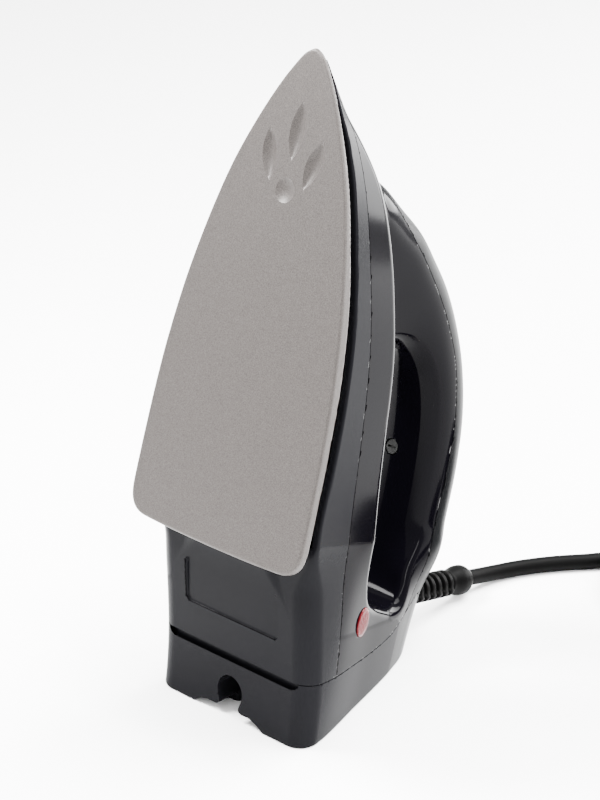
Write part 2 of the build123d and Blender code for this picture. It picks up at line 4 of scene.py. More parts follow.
import bpy
import numpy as np
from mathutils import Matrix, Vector


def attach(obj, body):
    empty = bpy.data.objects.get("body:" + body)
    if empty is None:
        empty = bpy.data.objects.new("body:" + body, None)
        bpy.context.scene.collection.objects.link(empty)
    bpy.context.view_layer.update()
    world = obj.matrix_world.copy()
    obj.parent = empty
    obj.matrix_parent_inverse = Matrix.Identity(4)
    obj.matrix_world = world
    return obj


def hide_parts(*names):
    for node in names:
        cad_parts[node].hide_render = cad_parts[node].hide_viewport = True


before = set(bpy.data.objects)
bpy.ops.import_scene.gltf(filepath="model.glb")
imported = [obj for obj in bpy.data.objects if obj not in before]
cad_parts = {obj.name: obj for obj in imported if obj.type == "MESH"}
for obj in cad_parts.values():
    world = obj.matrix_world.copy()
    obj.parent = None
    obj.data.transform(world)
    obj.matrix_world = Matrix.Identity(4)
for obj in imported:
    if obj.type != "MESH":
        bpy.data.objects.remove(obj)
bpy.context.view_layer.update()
MM = 0.001
COVER_STEP = 0.85   # grid spacing of the meshed covers, in mm
SOLE_STEP = 0.7

# ---- the iron's own frame: x across, y forwards along the sole, z away from its face, in mm ----
LEAN = math.radians(17.8)
SIN, COS = math.sin(LEAN), math.cos(LEAN)
SOLE_REAR_Y, SOLE_REAR_Z = -53.0, 81.0

# ---- camera ----
CAMERA_TARGET = Vector((0.0, -0.0022, 0.1250))
CAMERA_AZIMUTH = 0.75996
CAMERA_ELEVATION = 0.40671
CAMERA_DISTANCE = 0.9741
CAMERA_LENS = 111.88

# ---- cord, the same route as the CAD source, in mm ----
CORD_D = 7.0
GUARD_START = np.array([0.0, 49.0, 18.6])
GUARD_END = np.array([0.0, 103.0, 7.0])
LEAD_ROUTE = [
    (0.0, 103.0, 7.0), (0.9, 117.0, 4.1), (6.4, 132.5, 3.55), (15.6, 147.4, 3.5),
    (28.0, 162.0, 3.55), (35.9, 177.5, 3.5),
]
TAIL_ROUTE = [(113.9, 159.5, 24.3), (111.9, 146.5, 23.4)]
COIL_CENTRE = (77.0, 178.0)
COIL_INNER, COIL_OUTER = 31.5, 38.5   # middle of the inner and the outer turns
COIL_TURNS = 7 + 165 / 360
COIL_START = math.radians(158.0)
TURN_POINTS = 16
PLUG_AT = np.array([111.9, 146.5, 23.4])
PLUG_AIM = np.array([-0.122, -0.993, -0.275])


def add_camera():
    """The camera at the photograph's viewing angle."""
    data = bpy.data.cameras.new("camera")
    data.lens = CAMERA_LENS
    data.sensor_width = 36.0
    data.clip_start = 0.05
    cam = bpy.data.objects.new("camera", data)
    flat = math.cos(CAMERA_ELEVATION)
    away = Vector((
        flat * math.sin(CAMERA_AZIMUTH),
        -flat * math.cos(CAMERA_AZIMUTH),
        math.sin(CAMERA_ELEVATION),
    ))
    cam.location = CAMERA_TARGET + CAMERA_DISTANCE * away
    cam.rotation_euler = (-away).to_track_quat("-Z", "Y").to_euler()
    bpy.context.scene.collection.objects.link(cam)
    bpy.context.scene.camera = cam


def coil_points():
    """Two turns side by side and four high, wound clockwise from the floor up."""
    points = []
    steps = int(COIL_TURNS * TURN_POINTS)
    for i in range(1, steps):
        turned = i / TURN_POINTS
        angle = COIL_START - 2 * math.pi * turned
        pair, within = divmod(turned, 2.0)
        outer = within < 1.0 if int(pair) % 2 == 0 else within >= 1.0
        fraction = min(1.0, (turned % 1.0) / 0.22)
        blend = fraction * fraction * (3 - 2 * fraction)
        before = was_outer(int(turned) - 1)
        radius = COIL_INNER + (COIL_OUTER - COIL_INNER) * (before + (float(outer) - before) * blend)
        level_before = max(0, (int(turned) - 1) // 2)
        level = level_before + (int(turned) // 2 - level_before) * blend
        height = CORD_D / 2 + CORD_D * level
        points.append((
            COIL_CENTRE[0] + radius * math.cos(angle),
            COIL_CENTRE[1] + radius * math.sin(angle),
            height,
        ))
    return points


def was_outer(turn):
    """1 where that turn of the coil is an outer one."""
    if turn < 0:
        return 1.0
    pair, within = divmod(turn, 2)
    return 1.0 if (within == 0) == (pair % 2 == 0) else 0.0


def nurbs(name, points, bevel):
    """One open NURBS spline with these control points, in mm."""
    data = bpy.data.curves.new(name, "CURVE")
    data.dimensions = "3D"
    data.resolution_u = 8
    # Blender adds each point's radius to an object's bounds, so the points hold the cord's radius in metres.
    data.bevel_depth = 1.0
    data.bevel_resolution = 6
    data.use_fill_caps = True
    spline = data.splines.new("NURBS")
    spline.points.add(len(points) - 1)
    for target, point in zip(spline.points, points):
        target.co = (*(value * MM for value in point), 1.0)
        target.radius = bevel * MM
    spline.order_u = 3
    spline.use_endpoint_u = True
    return link(bpy.data.objects.new(name, data))


def link(obj):
    """Put an object in the scene."""
    bpy.context.scene.collection.objects.link(obj)
    return obj


# ---- smooth lines and maps ----
def smooth_line(points, spacing=0.8, soften=2.5):
    """A dense, softened line through a few points."""
    points = np.array(points, float)
    reach = np.concatenate([[0], np.cumsum(np.linalg.norm(np.diff(points, axis=0), axis=1))])
    dense = np.arange(0, reach[-1] + spacing / 2, spacing)
    line = np.stack([cubic(reach, points[:, k], dense) for k in range(points.shape[1])], 1)
    if soften <= 0:
        return line
    width = int(3 * soften / spacing)
    kernel = np.exp(-0.5 * (np.arange(-width, width + 1) * spacing / soften) ** 2)
    kernel /= kernel.sum()
    out = line.copy()
    for k in range(line.shape[1]):
        head = 2 * line[0, k] - line[width:0:-1, k]
        tail = 2 * line[-1, k] - line[-2:-width - 2:-1, k]
        out[:, k] = np.convolve(np.concatenate([head, line[:, k], tail]), kernel, "valid")
    return out


def cubic(x, y, at):
    """Monotone cubic through points, straight beyond its ends."""
    x, y, at = np.asarray(x, float), np.asarray(y, float), np.asarray(at, float)
    h = np.diff(x)
    d = np.diff(y) / h
    slope = np.empty_like(y)
    slope[0], slope[-1] = d[0], d[-1]
    same = d[:-1] * d[1:] > 0
    total = np.where(same, d[:-1] + d[1:], 1.0)
    slope[1:-1] = np.where(same, 2 * d[:-1] * d[1:] / total, 0.0)
    i = np.clip(np.searchsorted(x, at) - 1, 0, len(x) - 2)
    t = (at - x[i]) / h[i]
    value = (
        (1 + 2 * t) * (1 - t) ** 2 * y[i] + t * (1 - t) ** 2 * h[i] * slope[i]
        + t * t * (3 - 2 * t) * y[i + 1] + t * t * (t - 1) * h[i] * slope[i + 1]
    )
    value = np.where(at < x[0], y[0] + (at - x[0]) * slope[0], value)
    return np.where(at > x[-1], y[-1] + (at - x[-1]) * slope[-1], value)


def softened(function, at, spread=5.0):
    """A function averaged over its neighbourhood, which rounds its corners."""
    total, weights = 0.0, 0.0
    for offset in np.linspace(-2.2, 2.2, 13):
        weight = math.exp(-0.5 * offset * offset)
        total = total + weight * function(at + offset * spread)
        weights += weight
    return total / weights


def signed_map(ring, first, second):
    """Distance to a closed ring on a grid, positive inside it."""
    a = np.array(ring, float)
    b = np.roll(a, -1, axis=0)
    p = np.stack(np.meshgrid(first, second, indexing="ij"), -1).reshape(-1, 2)
    best = np.full(len(p), np.inf)
    inside = np.zeros(len(p), bool)
    for start, end in zip(a, b):
        run = end - start
        length = run @ run
        if length < 1e-12:
            continue
        t = np.clip(((p - start) @ run) / length, 0, 1)
        best = np.minimum(best, ((p - start - t[:, None] * run) ** 2).sum(1))
        crosses = (start[1] > p[:, 1]) != (end[1] > p[:, 1])
        if crosses.any():
            at = start[0] + (p[:, 1] - start[1]) * run[0] / (run[1] if run[1] else 1e-9)
            inside ^= crosses & (p[:, 0] < at)
    return (np.where(inside, 1, -1) * np.sqrt(best)).reshape(len(first), len(second))


class Maps:
    """Several functions of two coordinates, kept on one grid and read with a smooth cubic."""

    def __init__(self, first, second):
        self.first, self.second = first, second
        self.step = first[1] - first[0]
        self.names, self.layers = [], []

    def add(self, name, values):
        self.names.append(name)
        self.layers.append(np.ascontiguousarray(values, float))

    def at(self, u, v):
        """Every layer at scattered points."""
        stack = np.stack(self.layers)
        a = np.clip((u - self.first[0]) / self.step, 1, len(self.first) - 2.001)
        b = np.clip((v - self.second[0]) / self.step, 1, len(self.second) - 2.001)
        i, j = a.astype(int), b.astype(int)
        wa, wb = spline_weights(a - i), spline_weights(b - j)
        out = np.zeros((len(stack), len(u)))
        for p in range(4):
            rows = np.clip(i + p - 1, 0, len(self.first) - 1)
            for q in range(4):
                columns = np.clip(j + q - 1, 0, len(self.second) - 1)
                out += stack[:, rows, columns] * (wa[p] * wb[q])
        return dict(zip(self.names, out))


def spline_weights(t):
    """Weights of a uniform cubic B-spline, which keeps shading smooth."""
    return (
        (1 - t) ** 3 / 6, (3 * t**3 - 6 * t**2 + 4) / 6,
        (-3 * t**3 + 3 * t**2 + 3 * t + 1) / 6, t**3 / 6,
    )


# ---- ways to join distance fields ----
def both(a, b, radius):
    """Where both hold, with a rounded outer edge."""
    u, v = np.maximum(a + radius, 0), np.maximum(b + radius, 0)
    return np.minimum(-radius, np.maximum(a, b)) + np.sqrt(u * u + v * v)


def either(a, b, radius):
    """Where either holds, with a rounded inner corner."""
    u, v = np.maximum(radius - a, 0), np.maximum(radius - b, 0)
    return np.maximum(radius, np.minimum(a, b)) - np.sqrt(u * u + v * v)


def ease(value, start, end):
    """0 before start, 1 after end, smooth between them."""
    t = np.clip((value - start) / (end - start), 0, 1)
    return t * t * (3 - 2 * t)


def iron_yz(world_y, world_z):
    """World (y, z) in mm to the iron's (y, z)."""
    dy, dz = world_y - SOLE_REAR_Y, world_z - SOLE_REAR_Z
    return dy * SIN + dz * COS, dy * COS - dz * SIN


def world_z(y, z):
    return SOLE_REAR_Z + y * COS - z * SIN


def world_y(y, z):
    return SOLE_REAR_Y + y * SIN + z * COS


def to_world(points):
    """Points in the iron's frame, mm, to world metres."""
    x, y, z = points.T
    return np.stack([-x, world_y(y, z), world_z(y, z)], 1) * MM


# ---- the iron's lines, in its own frame ----
SOLE_SIDE = [
    (12.3, 46.3), (28.8, 46.1), (45.2, 45.7), (61.7, 44.9), (78.1, 43.4), (94.6, 41.2),
    (111.0, 38.1), (127.5, 34.2), (144.0, 29.3), (160.4, 22.6), (176.8, 14.3), (186.0, 8.4),
    (191.0, 4.4), (193.3, 0.0),
]
SKIRT_EDGE = [
    (195, 2.9), (181, 3.6), (172, 4.4), (162, 6.1), (150, 6.9), (137, 7.4), (124, 7.9),
    (111, 8.8), (98, 9.3), (80, 9.8), (60, 9.7), (40, 9.4), (24, 8.9), (12, 8.6),
]
# world (y, z) of the flat front below the sole, down to the flare at the floor
BOOT_FRONT = [(-41.5, 66), (-41.5, 40), (-41.6, 27), (-42.2, 18), (-43.3, 8), (-44.9, -2), (-46.4, -10)]
CREST = [
    (192.5, 3.2), (187, 6.2), (180, 10.0), (172, 14.0), (166, 18.6), (160, 22.8), (153, 27.0),
    (147, 29.6), (137, 33.1), (125, 36.1), (112, 38.4), (100, 40.2), (90, 41.8), (80, 42.9),
    (70, 43.5), (60, 44.0), (48, 45.2), (33, 47.2), (12, 51.2), (-2, 55.4),
]
OPENING_REAR = [(-8, 58.4), (-14, 62.5), (-18.5, 70), (-21.5, 80), (-23.6, 89)]
OPENING_ROOF = [
    (-22.5, 96), (-14, 100.2), (-4, 100.8), (12, 100.6), (26, 99.8), (42, 97.8), (54, 95),
    (64, 91.2), (72, 86.5), (79, 79), (84, 68), (86.5, 54), (88, 30),
]
CROWN = [
    (153, 10), (152, 28), (150.5, 38), (147.5, 47), (139.5, 61), (131, 76), (121, 87.6),
    (112, 97.5), (102, 106), (92, 113), (80, 120), (60, 128), (45, 131.4), (24, 133.4),
    (2, 133.6), (-14, 131.6), (-27, 128), (-42, 126), (-60, 125), (-95, 124),
]
REAR_SIDE = [
    (0, 42.4), (20, 41.9), (32, 41.5), (42, 40.6), (54, 37.6), (68, 33.2), (84, 28.6),
    (100, 23.6), (112, 18.9), (118, 16.8), (130, 14.5),
]
SKIRT_SEAM = [
    (192, 3.0), (186, 3.6), (178.6, 5.4), (172.6, 9.1), (164.8, 12.2), (150.5, 14.3), (124.9, 17.1),
    (89.6, 21.3), (50.9, 24.8), (20.1, 28.7), (0.3, 33.0), (-20.4, 39.3), (-45, 45.3), (-84, 54),
]
HEEL_SEAM = [(-60, 27.9), (-45, 27.6), (-17, 24.4), (6, 20.8), (22, 19.8), (37, 23.0), (48, 26.2)]
HEEL_STEP = [(50.5, 26.6), (52.5, 18.6), (90, 18.6)]
COVER_SEAM = [
    (175, 32), (162, 35), (149, 38), (145.6, 41.5), (143, 47), (140, 50.5), (128.0, 63), (115, 77.2),
    (101, 90.4), (91, 98.3), (79, 106), (66, 111), (45, 115.6), (15, 116.6), (-5, 114.4), (-20, 108.5),
    (-34, 99), (-50, 88),
]
BASE_RADIUS = 1.2       # edge of the skirt along the sole
FRONT_RADIUS = 9.0      # upright corners of the heel
CREST_RADIUS = 5.0
WALL = 3.2              # thicker than the CAD's, on the hidden inner side
GAP = 0.2               # half of a seam
GRIP_HALF = 17.4
GRIP_UNDER = 12.6       # half-width at the handle's underside
CROWN_DEPTH = 17.0
DIAL_Y = 52.0
LENS_Y, LENS_Z = -23.4, 58.5


def half_sole(y):
    return cubic(*zip(*SOLE_SIDE), np.minimum(y, 197.0))


def side_of_body(y, z):
    """Half-width of the body at each (y, z), before the handle."""
    half = softened(half_sole, np.clip(y, 12.3, 400), 2.0)
    base = cubic(*zip(*sorted(SKIRT_EDGE)), y)
    crest = cubic(*zip(*sorted(CREST)), np.clip(y, -2, 192))
    lean = np.minimum(3.9, 0.3 * np.maximum(half, 0))
    level = np.clip((z - base) / np.maximum(crest - base, 2.0), -1.0, 1.8)
    front = half - 1.0 - lean * level
    rear = softened(lambda at: cubic(*zip(*REAR_SIDE), at), z, 4.0)
    t = np.clip((12.0 - y) / 36.0, 0, 1)
    share = 1 - (1 - t) ** 2.4
    return front * (1 - share) + rear * share, share


def build_maps(step):
    """Everything about the covers that depends on the side view alone."""
    y = np.arange(-94.0, 204.0, step)
    z = np.arange(-8.0, 146.0, step)
    yy, zz = np.meshgrid(y, z, indexing="ij")
    maps = Maps(y, z)
    side, share = side_of_body(yy, zz)
    dy, dz = np.gradient(side, step)
    maps.add("side", side)
    maps.add("slope", 1 / np.sqrt(1 + dy**2 + dz**2))
    front = [iron_yz(*p) for p in BOOT_FRONT]
    base = smooth_line(SKIRT_EDGE[:-1] + front, soften=2.0)
    below = [(230, -60), (230, base[0][1])] + list(base) + [(-200, 60), (-200, -60)]
    maps.add("base", signed_map(below, y, z))
    deck = smooth_line(CREST + OPENING_REAR + [(-24, 97), (-29, 104)], soften=2.5)
    maps.add("deck", signed_map([(230, 3.0)] + list(deck) + [(-200, 104), (-200, 300), (230, 300)], y, z))
    crown = smooth_line(CROWN, soften=3.5)
    maps.add("crown", signed_map(list(crown) + [(-200, 124), (-200, -60), (153, -60)], y, z))
    rear = smooth_line([(-2, 55.4)] + OPENING_REAR + OPENING_ROOF, soften=2.5)
    maps.add("opening", signed_map(list(rear) + [(60, 30), (10, 40)], y, z))
    reach = softened(lambda at: ease(at, 10.0, -26.0), yy, 1.5)
    under = np.clip(-maps.layers[-1], 0, 60)
    depth = np.maximum(maps.layers[-2], 0)
    level = np.clip(under / np.maximum(under + depth - CROWN_DEPTH, 4.0), 0, 1)
    grip = GRIP_UNDER + (GRIP_HALF - GRIP_UNDER) * (1 - (1 - level) ** 1.7)
    maps.add("grip", grip * (1 - reach) + side * reach)
    maps.add("reach", reach)
    maps.add("share", share)
    roof = ease(yy, -14.0, 6.0) * ease(zz, 55.0, 82.0)
    maps.add("roof", roof)
    skirt = smooth_line(SKIRT_SEAM, soften=1.5)
    maps.add("skirt", signed_map([(230, -60), (230, 2.0)] + list(skirt) + [(-200, 54), (-200, -60)], y, z))
    heel = [tuple(p) for p in smooth_line(HEEL_SEAM, soften=1.5)] + HEEL_STEP
    heel = [iron_yz(*p) for p in heel + [(200, 18.6), (200, -90), (-200, -90), (-200, 28)]]
    maps.add("heel", signed_map(heel, y, z))
    cover = smooth_line(COVER_SEAM, soften=0.8)
    maps.add("cover", signed_map([(230, 32)] + list(cover) + [(-120, 60), (-120, 300), (230, 300)], y, z))
    return maps


def skin(ax, y, z, m):
    """Distance to the outer surface of all the covers together."""
    side = (ax - m["side"]) * m["slope"]
    corner = BASE_RADIUS + (FRONT_RADIUS - BASE_RADIUS) * ease(y, 13.0, -12.0)
    body = both(side, m["base"], corner)
    dome = 1.6 * (1 - np.clip(ax / np.maximum(m["side"], 6.0), 0, 1) ** 2) * ease(y, 92.0, 120.0)
    body = both(body, m["deck"] - dome, np.minimum(CREST_RADIUS, 0.4 * np.maximum(m["side"], 1.0)))
    boss = np.maximum(np.hypot(ax, y - DIAL_Y) - 24.0, z - 49.9)
    body = either(body, boss, 1.5)
    depth = np.maximum(CROWN_DEPTH - m["crown"], 0) / CROWN_DEPTH
    power = 2.25
    round_off = ((ax / np.maximum(m["grip"], 4.0)) ** power + depth**power) ** (1 / power)
    grip = (round_off - 1) * np.maximum(m["grip"], 4.0)
    grip = both(grip, -m["crown"], 0.5)
    belly = 4.0 * np.clip(ax / GRIP_UNDER, 0, 1.3) ** 2 * m["roof"]
    edge = 3.0 + 2.0 * m["reach"]
    grip = both(grip, m["opening"] + belly, edge)
    grip = both(grip, m["base"], corner)
    whole = either(body, grip, 9.0 * (1 - m["reach"]) ** 2 + 0.01)
    return both(whole, -world_z(y, z), 1.0)


# ---- from distance fields to meshes ----
class Contour:
    """Meshes the region where every part of a field is negative, with its creases kept sharp."""

    def __init__(self, step, maps, plane=(1, 2)):
        self.step = step
        self.maps = maps
        self.plane = plane

    def maps_at(self, points):
        """The maps' values at scattered points."""
        return self.maps.at(points[:, self.plane[0]], points[:, self.plane[1]])

    def grid(self, low, high):
        """Sample points of the box from low to high."""
        counts = [int(math.ceil((b - a) / self.step)) + 1 for a, b in zip(low, high)]
        return [a + self.step * np.arange(n) for a, n in zip(low, counts)]

    def parts_at(self, parts, points):
        """Each part's value at scattered points."""
        return self.parts_with(parts, points, self.maps_at(points))

    def parts_with(self, parts, points, m):
        return np.stack([part(points[:, 0], points[:, 1], points[:, 2], m) for part in parts])

    def with_gradient(self, parts, points):
        """Each part's value and gradient at scattered points."""
        e = 0.04
        m = self.maps_at(points)
        value = self.parts_with(parts, points, m)
        gradient = np.zeros((len(parts), len(points), 3))
        for axis in range(3):
            moved = points.copy()
            moved[:, axis] += e
            same = axis not in self.plane
            after = self.parts_with(parts, moved, m) if same else self.parts_at(parts, moved)
            gradient[:, :, axis] = (after - value) / e
        return value, gradient

    def mesh(self, name, parts, low, high):
        """A mesh object of max(parts) < 0 inside the box, in world metres."""
        axes = self.grid(low, high)
        shape = tuple(len(a) for a in axes)
        u, v = np.meshgrid(axes[self.plane[0]], axes[self.plane[1]], indexing="ij")
        missing = ({0, 1, 2} - set(self.plane)).pop()
        flat = self.maps.at(u.ravel(), v.ravel())
        m = {key: np.expand_dims(value.reshape(u.shape), missing) for key, value in flat.items()}
        x, y, z = np.meshgrid(*axes, indexing="ij", sparse=True)
        samples = np.stack([
            np.broadcast_to(part(x, y, z, m), shape).astype(np.float32) for part in parts
        ])
        total = samples.max(0)
        inside = total < 0
        count = sum(
            inside[a:shape[0] - 1 + a, b:shape[1] - 1 + b, c:shape[2] - 1 + c].astype(np.int8)
            for a in (0, 1) for b in (0, 1) for c in (0, 1)
        )
        cells = np.argwhere((count > 0) & (count < 8))
        index = np.full(tuple(n - 1 for n in shape), -1, np.int32)
        index[tuple(cells.T)] = np.arange(len(cells))
        origin = np.array([a[0] for a in axes])
        points = self.start_points(cells, total) * self.step + origin
        active = self.active_parts(cells, samples)
        points = self.settle(parts, points, active, origin + (cells + 0.5) * self.step)
        faces, labels = self.faces(index, samples, total, inside)
        return self.build(name, parts, points, faces, labels)

    def start_points(self, cells, total):
        """The middle of each cell's edge crossings, in grid units."""
        place = np.zeros((len(cells), 3))
        crossings = np.zeros(len(cells))
        corners = [(a, b, c) for a in (0, 1) for b in (0, 1) for c in (0, 1)]
        for start in corners:
            for axis in range(3):
                if start[axis]:
                    continue
                end = tuple(s + (k == axis) for k, s in enumerate(start))
                va = total[tuple((cells + start).T)]
                vb = total[tuple((cells + end).T)]
                cut = (va < 0) != (vb < 0)
                t = np.where(cut, va / np.where(va == vb, 1, va - vb), 0)
                at = np.array(start, float) + t[:, None] * (np.array(end) - np.array(start))
                place += at * cut[:, None]
                crossings += cut
        return cells + place / np.maximum(crossings, 1)[:, None]

    def active_parts(self, cells, samples):
        """Which parts change sign in each cell, near the overall surface."""
        active = np.zeros((len(samples), len(cells)), bool)
        for k, values in enumerate(samples):
            corner = np.stack([
                values[tuple((cells + (a, b, c)).T)] for a in (0, 1) for b in (0, 1) for c in (0, 1)
            ])
            active[k] = (corner.min(0) < 0) & (corner.max(0) > 0)
        return active

    def settle(self, parts, points, active, centres):
        """Move each point onto its surfaces, and onto their crease where two meet."""
        for _ in range(3):
            value, gradient = self.with_gradient(parts, points)
            near = active & (value > value.max(0) - 1.2 * self.step)
            near |= value == value.max(0)
            g = gradient * near[:, :, None]
            matrix = np.einsum("kni,knj->nij", g, g) + 0.01 * np.eye(3)
            pull = -np.einsum("kni,kn->ni", g, value * near)
            points = points + np.linalg.solve(matrix, pull[:, :, None])[:, :, 0]
            points = centres + np.clip(points - centres, -0.8 * self.step, 0.8 * self.step)
        return points

    def faces(self, index, samples, total, inside):
        """One quad for each grid edge that crosses the surface, with the part it lies on."""
        quads, labels = [], []
        for axis in range(3):
            head = [slice(None)] * 3
            tail = [slice(None)] * 3
            head[axis], tail[axis] = slice(0, -1), slice(1, None)
            a, b = inside[tuple(head)], inside[tuple(tail)]
            cut = np.argwhere(a != b)
            others = [k for k in range(3) if k != axis]
            keep = np.all([(cut[:, k] > 0) & (cut[:, k] < inside.shape[k] - 1) for k in others], axis=0)
            cut = cut[keep]
            ring = []
            for da, db in ((0, 0), (1, 0), (1, 1), (0, 1)):
                cell = cut.copy()
                cell[:, others[0]] -= 1 - da
                cell[:, others[1]] -= 1 - db
                ring.append(index[tuple(cell.T)])
            quad = np.stack(ring, 1)
            end = cut.copy()
            end[:, axis] += 1
            va, vb = total[tuple(cut.T)], total[tuple(end.T)]
            t = va / (va - vb)
            at_cut = samples[(slice(None), *cut.T)] * (1 - t) + samples[(slice(None), *end.T)] * t
            flip = (va < 0) if axis != 1 else (va >= 0)
            quad[~flip] = quad[~flip][:, ::-1]
            quads.append(quad)
            labels.append(at_cut.argmax(0))
        return np.concatenate(quads), np.concatenate(labels)

    def build(self, name, parts, points, faces, labels):
        """A Blender mesh with exact normals for each face's own part."""
        gradient = self.with_gradient(parts, points)[1]
        length = np.linalg.norm(gradient, axis=2, keepdims=True)
        normals = gradient / np.maximum(length, 1e-6)
        corner = normals[np.repeat(labels, 4), faces.ravel()]
        data = bpy.data.meshes.new(name)
        data.vertices.add(len(points))
        data.vertices.foreach_set("co", to_world(points).ravel())
        data.loops.add(len(faces) * 4)
        data.loops.foreach_set("vertex_index", faces.ravel())
        data.polygons.add(len(faces))
        data.polygons.foreach_set("loop_start", np.arange(len(faces)) * 4)
        data.update(calc_edges=True)
        data.validate()
        data.polygons.foreach_set("use_smooth", np.ones(len(faces), bool))
        world = np.stack([
            -corner[:, 0],
            corner[:, 1] * SIN + corner[:, 2] * COS,
            corner[:, 1] * COS - corner[:, 2] * SIN,
        ], 1)
        if len(data.loops) == len(world):
            data.normals_split_custom_set(world.tolist())
        return link(bpy.data.objects.new(name, data))


# ---- the parts that cut the covers ----
def outside(x, y, z, m):
    return skin(np.abs(x), y, z, m)


def hollow(x, y, z, m):
    return -(skin(np.abs(x), y, z, m) + WALL)


def side_of(name, sign):
    """The far side of a seam, with half of the seam's gap."""
    return lambda x, y, z, m: sign * m[name] + GAP + 0 * x


def mouth(x, y, z, m):
    """The skirt is open behind the sole."""
    half = np.interp(y, *np.array(SOLE_SIDE).T)
    return -np.maximum(np.maximum(np.abs(x) - (half - 4.2), 10.5 - y), z - 13.5)


def label_panel(x, y, z, m):
    """The blank sunk panel on the front below the sole."""
    up = world_z(y, z)
    sides = both(np.abs(x) - 25.5, np.abs(up - 52.8) - 10.1, 2.5)
    return -both(sides, world_y(y, z) - (-40.6), 0.25)


def clip(x, y, z, m):
    """The cord clip in the heel's front edge: a socket, its throat and the arch below."""
    ax, up, back = np.abs(x), world_z(y, z), world_y(y, z) + 47.0
    socket = np.hypot(ax, up - 11.0) - 6.8
    throat = np.maximum(ax - 4.8, up - 10.0)
    hole = either(socket, throat, 2.0)
    hole = np.maximum(hole, back - 21.0)
    arch = both(ax - 20.0 + 1.6 * up, up - 3.6, 3.0)
    arch = np.maximum(arch, back - 14.0)
    return -either(hole, arch, 2.5)


def clip_block(x, y, z, m):
    """Solid material round the cord clip."""
    back = world_y(y, z)
    return np.maximum(np.maximum(np.abs(x) - 25.0, back + 21.5), world_z(y, z) - 21.0)


def heel_inside(x, y, z, m):
    return np.minimum(hollow(x, y, z, m), clip_block(x, y, z, m))


def guard_hole(x, y, z, m):
    """The round hole for the cord guard."""
    aim = GUARD_END - GUARD_START
    aim = aim / np.linalg.norm(aim)
    back, up = world_y(y, z) - GUARD_START[1], world_z(y, z) - GUARD_START[2]
    along = back * aim[1] + up * aim[2]
    off = back * aim[2] - up * aim[1]
    return -np.maximum(np.hypot(x, off) - 6.5, 2.0 - along)


def lens_hole(x, y, z, m):
    """The oval hole for the pilot lens, on one side only."""
    a = (y - LENS_Y) * 0.982 - (z - LENS_Z) * 0.19
    b = (y - LENS_Y) * 0.19 + (z - LENS_Z) * 0.982
    oval = (np.hypot(a / 6.4, b / 4.95) - 1) * 5.4
    return -np.maximum(oval, x + 28.0)


def screw_holes(x, y, z, m):
    """Counterbores under the heel for its two screws."""
    off = np.hypot(np.abs(x) - 24.0, world_y(y, z) + 2.0)
    return -np.maximum(off - 3.7, world_z(y, z) - 4.2)


def handle_screw_hole(x, y, z, m):
    """The counterbore under the handle."""
    return -np.maximum(np.hypot(x, y - 38.0) - 3.5, z - 101.8)


def add_covers(contour):
    """The four moulded covers."""
    boxes = {
        "skirt": ((-49.2, -72.0, 0.4), (49.2, 196.4, 62.0)),
        "upper_housing": ((-47.2, -70.0, 1.6), (47.2, 190.0, 132.0)),
        "handle_cover": ((-22.0, -64.0, 30.0), (22.0, 160.0, 138.0)),
        "heel_cover": ((-47.2, -92.0, 28.0), (47.2, -18.0, 136.0)),
    }
    parts = {
        "skirt": [outside, hollow, side_of("skirt", -1), side_of("heel", 1), mouth, label_panel],
        "upper_housing": [
            outside, hollow, side_of("skirt", 1), side_of("heel", 1), side_of("cover", 1),
            lens_hole, guard_hole, handle_screw_hole,
        ],
        "handle_cover": [outside, hollow, side_of("cover", -1), side_of("heel", 1), guard_hole],
        "heel_cover": [outside, heel_inside, side_of("heel", -1), clip, guard_hole, screw_holes],
    }
    made = {}
    for name, (low, high) in boxes.items():
        made[name] = contour.mesh(name + "_moulding", parts[name], low, high)
        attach(made[name], "iron")
        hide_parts(name)
    return made


# ---- soleplate ----
SOLE_BACK = [
    (0, 3.7), (50, 3.9), (80, 4.4), (107, 4.3), (125, 3.4),
    (142, 2.9), (154, 2.6), (169, 2.0), (194, 1.6),
]
SOLE_HEIGHT = 8.2
SOLE_CORNER_LINE = [
    (0, -1.6), (20, -1.35), (33, -0.9), (38.6, -0.5), (42.2, 0.9), (44.7, 3.6), (45.9, 7.0), (46.3, 11.0),
]
# x, y, turn, half length of each pressed petal
PETALS = [(0.0, 161.7, 0.0, 11.7), (11.3, 150.8, -14.1, 10.2), (-11.3, 150.8, 14.1, 10.2)]
PETAL_HALF, PETAL_DEPTH = 3.7, 1.75


def petal(x0, y0, turn, reach):
    """A boat-shaped hollow in the ironing face."""
    c, s = math.cos(math.radians(turn)), math.sin(math.radians(turn))

    def cut(x, y, z, m):
        along = -(x - x0) * s + (y - y0) * c
        across = (x - x0) * c + (y - y0) * s
        full = np.maximum(1 - (along / reach) ** 2, 0.02)
        depth = PETAL_DEPTH * (full - (across / PETAL_HALF) ** 2 / full)
        return depth - np.maximum(np.abs(along) - reach, 0) - z
    return cut


def round_dimple(x, y, z, m):
    return 1.25 * (1 - (np.hypot(x, y - 139.0) / 4.8) ** 2) - z


def sole_body(x, y, z, m):
    """The plate with its rounded rim and the thicker core behind it."""
    inside = m["inside"]
    plate = both(both(-inside, -z, 1.0), z - cubic(*zip(*SOLE_BACK), y), 0.4)
    core = both(np.maximum(12.0 - inside, 15.5 - y), z - SOLE_HEIGHT, 0.6)
    return np.minimum(plate, np.maximum(core, -z + 1.0))


